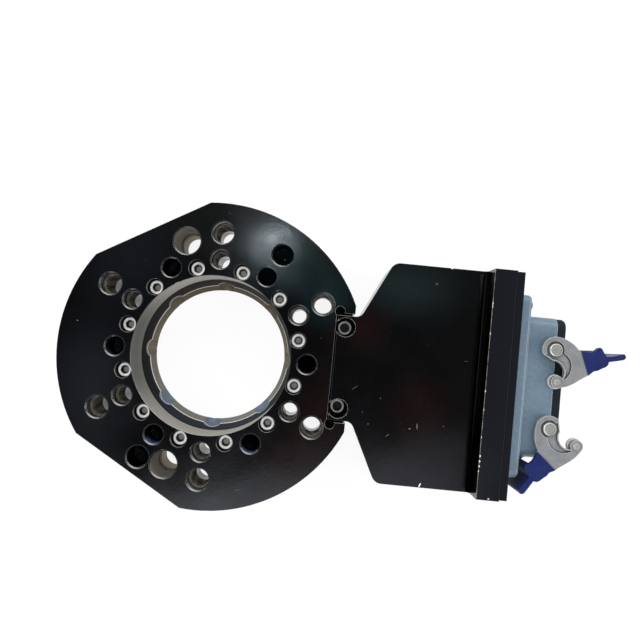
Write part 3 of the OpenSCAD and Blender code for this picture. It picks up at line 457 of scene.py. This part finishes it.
def ring_look():
    """Ground ring and guide bushes: dark cone, light lead-in and ball seats, a painted highlight line
    between.
    """
    look = Look("hardened_ring_look", roughness=0.44, metallic=0.2, specular=0.08)
    _, y, z = look.axes()
    from_axis = look.radius()
    turned = turning(look, z, 0.0004)
    light = look.mix(look.span(turned, -1, 1, 0, 0.3), linear((104, 98, 87)), linear((82, 77, 68)))
    dark = look.mix(look.span(turned, -1, 1, 0, 0.4), linear((8, 10, 16)), linear((16, 18, 25)))
    # painted light and shade on the cone: browner toward +Y, a painted blue reflection toward -Y, lighter
    # toward its foot, a painted shadow along its top by the plate's wall
    dark = look.mix(look.span(y, -0.010, 0.055, 0, 0.7), dark, linear((30, 26, 21)))
    dark = look.mix(look.span(y, -0.024, -0.046, 0, 0.8), dark, linear((30, 37, 50)))
    dark = look.mix(look.span(z, 0.0098, 0.0058, 0, 0.6), dark, linear((46, 46, 47)))
    dark = look.mix(look.span(z, RING_TOP - 0.0026, RING_TOP - 0.0006, 0, 0.95), dark, linear((2, 2, 2)))
    # painted light and shade on the lead-in: darker and browner toward +Y, lighter toward -Y
    light = look.mix(look.span(y, 0.0, 0.045, 0, 0.8), light, linear((74, 67, 54)))
    light = look.mix(look.span(y, -0.005, -0.030, 0, 0.5), light, linear((116, 118, 118)))
    seat_x, seat_z, seat_r = 0.0432, 0.0074, 0.00792
    cone_foot, cone_reach = 0.0056, 0.0518
    fx, fy = folded(look, 45, 0)
    dz = look.minus(z, seat_z)
    dx = look.minus(fx, seat_x)
    reach = look.plus(look.times(dz, dz), look.plus(look.times(dx, dx), look.times(fy, fy)))
    seat = look.below(reach, seat_r ** 2)
    # a painted blue reflection on the ball seats toward -Y
    seat_blue_sheen = look.times(seat, look.span(y, -0.010, -0.030, 0, 0.75))
    light = look.mix(seat_blue_sheen, light, linear((92, 105, 124)))
    cone = look.times(look.above(z, cone_foot + 0.00002), look.below(from_axis, cone_reach),
                      look.minus(1.0, seat))
    bush = look.above(from_axis, 0.060)
    bush_tone = look.mix(look.span(turned, -1, 1, 0, 0.5), linear((168, 156, 134)), linear((146, 135, 115)))
    colour = look.mix(cone, look.mix(bush, light, bush_tone), dark)
    look.rough(look.span(cone, 0, 1, 0.44, 0.6))
    # a painted highlight along the ridge, strongest toward -Y
    ridge = look.times(look.math("COMPARE", z, cone_foot, 0.00028), look.minus(1.0, bush))
    lit_ridge = look.times(ridge, look.span(y, 0.03, -0.03, 0.7, 1.0))
    colour = look.mix(lit_ridge, colour, linear((222, 220, 212)))
    # edges painted lighter as a highlight
    look.colour(look.mix(look.times(look.edges(0.0003), 0.5), colour, linear((166, 163, 154))))
    look.bump(look.plus(turned, look.noise(900.0, 3.0)), 0.15, 0.00002, rounded=0.0002)
    return look.material


def thread_look():
    """Steel thread inserts, with painted shade in the grooves of both sizes of thread."""
    look = Look("thread_look", roughness=0.30, metallic=0.45)
    worn = look.span(look.noise(500.0, 3.0), 0.35, 0.7)
    colour = look.mix(worn, linear((150, 145, 134)), linear((120, 114, 104)))
    fx, fy = folded(look, 60, 30)
    for circle, crest, root in ((OUTER_CIRCLE, 0.0060, 0.0065), (INNER_CIRCLE, 0.0050, 0.0054)):
        r = look.distance(look.minus(fx, circle), fy)
        # painted shade in the roots of the thread
        groove_shade = look.times(look.span(r, crest, root), look.below(r, 0.0070))
        colour = look.mix(look.times(groove_shade, 0.7), colour, linear((52, 48, 40)))
    # a painted highlight on the edges
    look.colour(look.mix(look.times(look.edges(0.0002), 0.6), colour, linear((240, 236, 226))))
    look.rough(look.span(look.noise(300.0, 3.0), 0.3, 0.7, 0.26, 0.4))
    return look.material


def bolt_look():
    """Black cap screw whose flat top has a bright ring round the socket."""
    look = Look("bolt_look", roughness=0.34, metallic=0.15)
    x, y, z = look.axes()
    lowest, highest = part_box("module_bolts")
    side = look.minus(look.absolute(y), highest[1] - 0.005)
    across = look.minus(x, (lowest[0] + highest[0]) / 2)
    r = look.distance(side, across)
    ring = look.times(look.span(r, 0.0031, 0.0034), look.span(r, 0.0046, 0.0042),
                      look.above(z, highest[2] - 0.0008))
    base = look.mix(look.span(look.noise(700.0, 3.0), 0.35, 0.7), linear((17, 17, 18)),
                    linear((34, 34, 35)))
    worn = look.span(look.noise(400.0, 4.0), 0.3, 0.6, 0.65, 1.0)
    look.colour(look.mix(look.times(ring, worn), base, linear((226, 224, 218))))
    look.bump(look.noise(1800.0, 2.0), 0.10, 0.00002, rounded=0.0003)
    return look.material


def housing_look():
    """Blue grey powder coat, slight orange peel of a thick coat, painted edge highlight and corner shade.
    """
    look = Look("housing_coat_look", roughness=0.36, specular=0.5)
    mottle = look.span(look.noise(420.0, 3.0), 0.35, 0.7)
    colour = look.mix(mottle, linear((88, 106, 120)), linear((97, 116, 131)))
    colour = look.mix(look.span(look.noise(16.0, 2.0), 0.4, 0.7, 0, 0.35), colour, linear((80, 97, 112)))
    # a painted highlight on the edges
    colour = look.mix(look.times(look.edges(0.0009), 0.6), colour, linear((176, 190, 200)))
    # painted shade in the corners
    colour = look.mix(look.span(look.open_air(0.002), 0.8, 0.4, 0, 0.35), colour, linear((58, 72, 84)))
    look.colour(colour)
    waves = look.noise(260.0, 2.0, 0.5, look.stretched((1.0, 0.5, 1.0)))
    look.bump(look.plus(look.noise(620.0, 2.0), waves), 0.45, 0.00016, rounded=0.0007)
    return look.material


def cast_look():
    """Blasted die-cast metal, with a painted highlight on its rims and painted shade in its corners."""
    look = Look("die_cast_look", roughness=0.46, metallic=0.25)
    colour = look.mix(look.span(look.noise(1500.0, 3.0), 0.3, 0.75), linear((124, 126, 127)),
                      linear((104, 106, 108)))
    colour = look.mix(look.span(look.noise(190.0, 3.0), 0.40, 0.7, 0, 0.55), colour, linear((94, 98, 102)))
    # painted shade in the corners and recesses
    corner = look.span(look.open_air(0.0017, samples=6), 0.97, 0.55, 0, 0.9)
    colour = look.mix(corner, colour, linear((22, 22, 23)))
    # a painted highlight on the rims
    colour = look.mix(look.times(look.edges(0.0007), 0.75), colour, linear((204, 205, 205)))
    look.colour(colour)
    look.bump(look.noise(1500.0, 3.0), 0.30, 0.00004, rounded=0.0004)
    return look.material


def screw_look():
    """Bright ring screw: light rim round a grey socket, with painted shade as dark lines inside and outside
    the rim.
    """
    look, colour = metal("bright_screw_look", linear((176, 174, 169)), linear((136, 134, 130)),
                         linear((96, 95, 92)), 0.1)
    x, y = folded(look, 30, 15)
    _, _, z = look.axes()
    _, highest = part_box("ring_screws")
    head_top = highest[2]
    colour = look.mix(look.below(z, head_top - 0.0012), colour, linear((88, 87, 84)))
    r = look.distance(look.minus(x, highest[0] / math.cos(math.radians(15)) - 0.0052), y)
    ring = look.times(look.span(r, 0.0028, 0.0031), look.span(r, 0.0044, 0.0041),
                      look.above(z, head_top - 0.0009))
    used = look.span(look.noise(420.0, 3.0), 0.35, 0.65, 0.75, 1.0)
    colour = look.mix(look.times(ring, used), colour, linear((250, 249, 245)))
    # painted shade on the walls of the socket, round its lighter floor
    socket = look.times(look.below(z, head_top - 0.0001), look.below(r, 0.0030))
    socket_tone = look.mix(look.span(r, 0.0015, 0.0021), linear((150, 148, 145)), linear((24, 24, 24)))
    colour = look.mix(socket, colour, socket_tone)
    # a painted shadow in the pocket round the head
    outer = look.times(look.span(r, 0.0044, 0.0047), look.below(r, 0.0060))
    look.colour(look.mix(look.times(outer, 0.85), colour, linear((34, 34, 33))))
    return look.material


def turned_look(name, light, dark, spots, radius):
    """Turned pin or roller: painted highlight on the rim, painted shade in a groove inside it, slightly
    dull middle.
    """
    look, colour = metal(name, light, dark, linear((214, 214, 208)), 0.25)
    x, y, _ = look.axes()
    nearest = None
    for x0, y0 in spots:
        r = look.distance(look.minus(x, x0), look.minus(y, y0))
        nearest = look.math("MINIMUM", nearest, r) if nearest else r
    # painted shade in the groove
    groove_shade = look.times(look.span(nearest, 0.70 * radius, 0.76 * radius),
                        look.span(nearest, 0.88 * radius, 0.82 * radius))
    colour = look.mix(look.times(groove_shade, 0.6), colour, linear((92, 93, 92)))
    # a painted highlight on the rim
    rim = look.times(look.span(nearest, 0.86 * radius, 0.90 * radius),
                     look.span(nearest, 1.02 * radius, 0.98 * radius))
    colour = look.mix(look.times(rim, 0.7), colour, linear((206, 206, 202)))
    dull = look.span(nearest, 0.55 * radius, 0.1 * radius, 0, 0.35)
    look.colour(look.mix(dull, colour, linear((118, 118, 116))))
    return look.material


def plastic_look(name, base, other, roughness, edge_colour, specular=0.5):
    """Moulded plastic or rubber in two close tones, its paler edges a painted highlight."""
    look = Look(name, roughness=roughness, specular=specular)
    colour = look.mix(look.span(look.noise(500.0, 3.0), 0.35, 0.7), base, other)
    # paler edges as a painted highlight
    look.colour(look.mix(look.times(look.edges(0.0004), 0.5), colour, edge_colour))
    look.rough(look.span(look.noise(150.0, 3.0), 0.3, 0.7, roughness - 0.05, roughness + 0.1))
    look.bump(look.noise(1500.0, 2.0), 0.15, 0.00003, rounded=0.0004)
    return look.material


def middle(node):
    """Middle of a CAD part seen from above."""
    lowest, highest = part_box(node)
    return (lowest[0] + highest[0]) / 2, (lowest[1] + highest[1]) / 2


# where the lever pivots are, and how wide their heads and the rollers are
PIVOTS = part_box("lever_pivots")
HINGE_X = (PIVOTS[0][0] + PIVOTS[1][0]) / 2
PIVOT_HEAD_R = 0.0039
ROLLER_R = 0.0046

LOOKS = {
    "plate_anodise": plate_look(),
    "module_anodise": module_look(),
    "hardened_steel": ring_look(),
    "bright_screw": screw_look(),
    "bolt_steel": bolt_look(),
    "insert_steel": thread_look(),
    "pivot_steel": turned_look("pivot_look", linear((136, 139, 134)), linear((122, 125, 121)),
                               [(HINGE_X, PIVOTS[0][1] + PIVOT_HEAD_R),
                                (HINGE_X, PIVOTS[1][1] - PIVOT_HEAD_R)], PIVOT_HEAD_R),
    "roller_steel": turned_look("roller_look", linear((140, 139, 135)), linear((98, 97, 94)),
                                [middle("upper_roller_front"), middle("lower_roller_front")], ROLLER_R),
    "housing_coat": housing_look(),
    "die_cast_metal": cast_look(),
    "grip_plastic": plastic_look("grip_look", linear((10, 22, 71)), linear((13, 26, 80)), 0.40,
                                 linear((62, 72, 148)), specular=0.22),
    "black_screw": plastic_look("black_screw_look", linear((6, 6, 7)), linear((10, 10, 11)), 0.4,
                                linear((22, 22, 24)), specular=0.15),
    "seal_rubber": plastic_look("seal_look", linear((16, 22, 30)), linear((20, 27, 35)), 0.55,
                                linear((52, 58, 64)), specular=0.12),
    "insert_plastic": plastic_look("insert_look", linear((222, 218, 208)), linear((208, 204, 194)), 0.5,
                                   linear((236, 233, 226))),
    "block_plastic": plastic_look("block_look", linear((24, 25, 26)), linear((32, 33, 34)), 0.55,
                                  linear((58, 58, 60))),
    "contact_brass": metal_look("contact_look", linear((214, 176, 96)), linear((186, 148, 72)),
                                linear((240, 214, 150)), 0.9),
    "wire_jacket": plastic_look("wire_look", linear((40, 52, 110)), linear((48, 60, 122)), 0.45,
                                linear((80, 92, 150))),
}

slots = {part["node"]: part["material_slot"] for part in frame["record"]["subparts"]}
for name, obj in frame["nodes"].items():
    obj.data.materials.clear()
    obj.data.materials.append(LOOKS[slots[name]])


# ---------------------------------------------------------------- thread inserts

def threaded_sleeves(node, name, radius, depth, outer, pitch, circle):
    """Real screw threads in place of the plain sleeves of one bolt circle."""
    around, per_turn = 56, 6
    angles = [2 * math.pi * j / around for j in range(around)]
    lowest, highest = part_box(node)
    low, high = lowest[2], highest[2]
    rows = int((high - low) / pitch * per_turn)
    corners, faces = [], []
    for hole in range(6):
        turn = math.radians(30 + 60 * hole)
        mid_x, mid_y = circle * math.cos(turn), circle * math.sin(turn)
        first = len(corners)
        for i in range(rows + 1):
            z = low + (high - low) * i / rows
            fade = min(1.0, (high - z) / (0.6 * pitch), (z - low) / (0.6 * pitch))
            for j, angle in enumerate(angles):
                wave = abs(((z / pitch - j / around) % 1.0) * 2 - 1)
                r = radius + depth * (1 - max(0.0, min(1.0, wave * 1.5 - 0.25)) * fade)
                corners.append((mid_x + r * math.cos(angle), mid_y + r * math.sin(angle), z))
        for i in range(rows):
            for j in range(around):
                here, beside = first + i * around + j, first + i * around + (j + 1) % around
                faces.append((here, here + around, beside + around, beside))
        for z, row, flip in ((high, rows, False), (low, 0, True)):
            rim = len(corners)
            for angle in angles:
                corners.append((mid_x + outer * math.cos(angle), mid_y + outer * math.sin(angle), z))
            for j in range(around):
                here, beside = first + row * around + j, first + row * around + (j + 1) % around
                face = (here, rim + j, rim + (j + 1) % around, beside)
                faces.append(face[::-1] if flip else face)
    mesh = bpy.data.meshes.new(name)
    mesh.from_pydata(corners, [], faces)
    mesh.update()
    made = bpy.data.objects.new(name, mesh)
    scene.collection.objects.link(made)
    for polygon in mesh.polygons:
        polygon.use_smooth = True
    mesh.materials.append(LOOKS["insert_steel"])
    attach(made, "changer")
    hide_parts(node)


threaded_sleeves("outer_thread_inserts", "outer_threads", radius=0.0059, depth=0.0007, outer=0.0068,
                 pitch=0.00175, circle=OUTER_CIRCLE)
threaded_sleeves("inner_thread_inserts", "inner_threads", radius=0.0049, depth=0.0006, outer=0.0057,
                 pitch=0.00150, circle=INNER_CIRCLE)


# ---------------------------------------------------------------- stage, light, camera

def floor():
    """White table: it shows as white paper to the camera and to gloss, with a faint shadow."""
    bpy.ops.mesh.primitive_plane_add(size=6.0, location=(0.07, 0.0, cad_box[0][2] - 0.0002))
    ground = bpy.context.object
    ground.name = "studio_floor"
    look = Look("floor_look", roughness=0.9, specular=0.0)
    look.colour(look.mix(look.noise(3.0, 2.0), linear((250, 250, 249)), linear((252, 252, 252))))
    paths = look.node("ShaderNodeLightPath").outputs
    seen = look.most(paths["Is Camera Ray"], paths["Is Glossy Ray"], paths["Is Transmission Ray"])
    glow = look.node("ShaderNodeEmission")
    glow.inputs["Color"].default_value = (1, 1, 1, 1)
    glow.inputs["Strength"].default_value = 1.0
    both = look.node("ShaderNodeMixShader")
    look.link(look.times(seen, 0.88), both.inputs["Fac"])
    look.link(look.shader.outputs[0], both.inputs[1])
    look.link(glow.outputs[0], both.inputs[2])
    look.link(both.outputs[0], look.tree.nodes["Material Output"].inputs["Surface"])
    ground.data.materials.append(look.material)


def area(name, place, aim, width, height, power):
    """An area light at a place, turned to its aim."""
    data = bpy.data.lights.new(name, "AREA")
    data.shape = "RECTANGLE"
    data.size, data.size_y, data.energy = width, height, power
    lamp = bpy.data.objects.new(name, data)
    lamp.location = place
    lamp.rotation_euler = (Vector(aim) - Vector(place)).to_track_quat("-Z", "Y").to_euler()
    scene.collection.objects.link(lamp)
    return lamp


def world(level, gloss):
    """White to the camera, dimmer as a light, and dark in the gloss but for some lighter sides."""
    made = bpy.data.worlds.new("studio")
    made.use_nodes = True
    sky = Nodes(made.node_tree)
    paths = sky.node("ShaderNodeLightPath").outputs
    x, y, z = sky.split(sky.node("ShaderNodeTexCoord").outputs["Generated"])
    rise = sky.most(z, 0.05)
    across = sky.math("DIVIDE", x, rise)
    along = sky.math("DIVIDE", y, rise)
    slant = sky.math("MULTIPLY_ADD", across, -0.3, along)
    low_side = sky.times(sky.span(slant, -0.203, -0.232), sky.span(across, 0.29, 0.25))
    strong = sky.math("MULTIPLY_ADD", sky.span(across, 0.05, -0.12), 4.0, 2.6)
    high_side = sky.times(sky.span(along, 0.08, 0.21), 0.30)
    right_side = sky.times(sky.span(across, 0.24, 0.30), 0.4)
    lit = sky.most(sky.times(low_side, strong), high_side, right_side)
    horizon = sky.minus(1.0, sky.span(z, 0.35, 0.75))
    behind = sky.math("MULTIPLY_ADD", sky.span(y, 0.15, 0.7), 0.7, 0.12)
    sheen = sky.plus(sky.plus(sky.times(lit, 0.55), sky.times(horizon, behind)), gloss)
    in_gloss = paths["Is Glossy Ray"]
    shown = sky.math("MULTIPLY_ADD", in_gloss, sky.minus(sheen, level), level)
    seen = sky.math("MULTIPLY_ADD", paths["Is Camera Ray"], sky.minus(1.0, shown), shown)
    tint = sky.mix(sky.times(low_side, in_gloss), (1, 1, 1, 1), (0.86, 0.88, 1, 1))
    back = sky.tree.nodes["Background"]
    sky.link(seen, back.inputs["Strength"])
    sky.link(tint, back.inputs["Color"])
    scene.world = made


def camera():
    """Looks down from above the module side of the plate, turned a little about its own axis."""
    data = bpy.data.cameras.new("view")
    data.sensor_width = 36.0
    data.lens = 33.19
    data.clip_start = 0.01
    made = bpy.data.objects.new("view", data)
    turn = (Matrix.Rotation(-0.0975, 3, "Z") @ Matrix.Rotation(-0.0006, 3, "Y")
            @ Matrix.Rotation(-0.0399, 3, "X"))
    pose = turn.transposed().to_4x4()
    pose.translation = Vector((0.06842, 0.01422, 0.42195))
    made.matrix_world = pose
    scene.collection.objects.link(made)
    scene.camera = made


floor()
world(level=0.5, gloss=0.035)
part_middle = (0.07, 0, 0.02)
area("left_light", (-1.5, 0.5, 1.1), part_middle, 1.6, 0.9, 22)
area("right_light", (1.7, -0.2, 1.1), part_middle, 1.6, 0.9, 20)
area("far_light", (0.1, 1.6, 1.2), part_middle, 1.8, 0.9, 24)
area("near_light", (0.1, -1.6, 1.0), part_middle, 1.8, 0.9, 14)
spot = area("spot_light", (-0.066, 0.252, 1.10), (0.03, 0.08, 0.04), 0.075, 0.04, 0.34)
spot.data.color = (0.82, 0.93, 1.0)
top = area("top_light", (0.05, 0.0, 1.6), (0.05, 0, 0), 0.7, 0.7, 5)
top.visible_glossy = False
camera()

scene.view_settings.view_transform = "Standard"
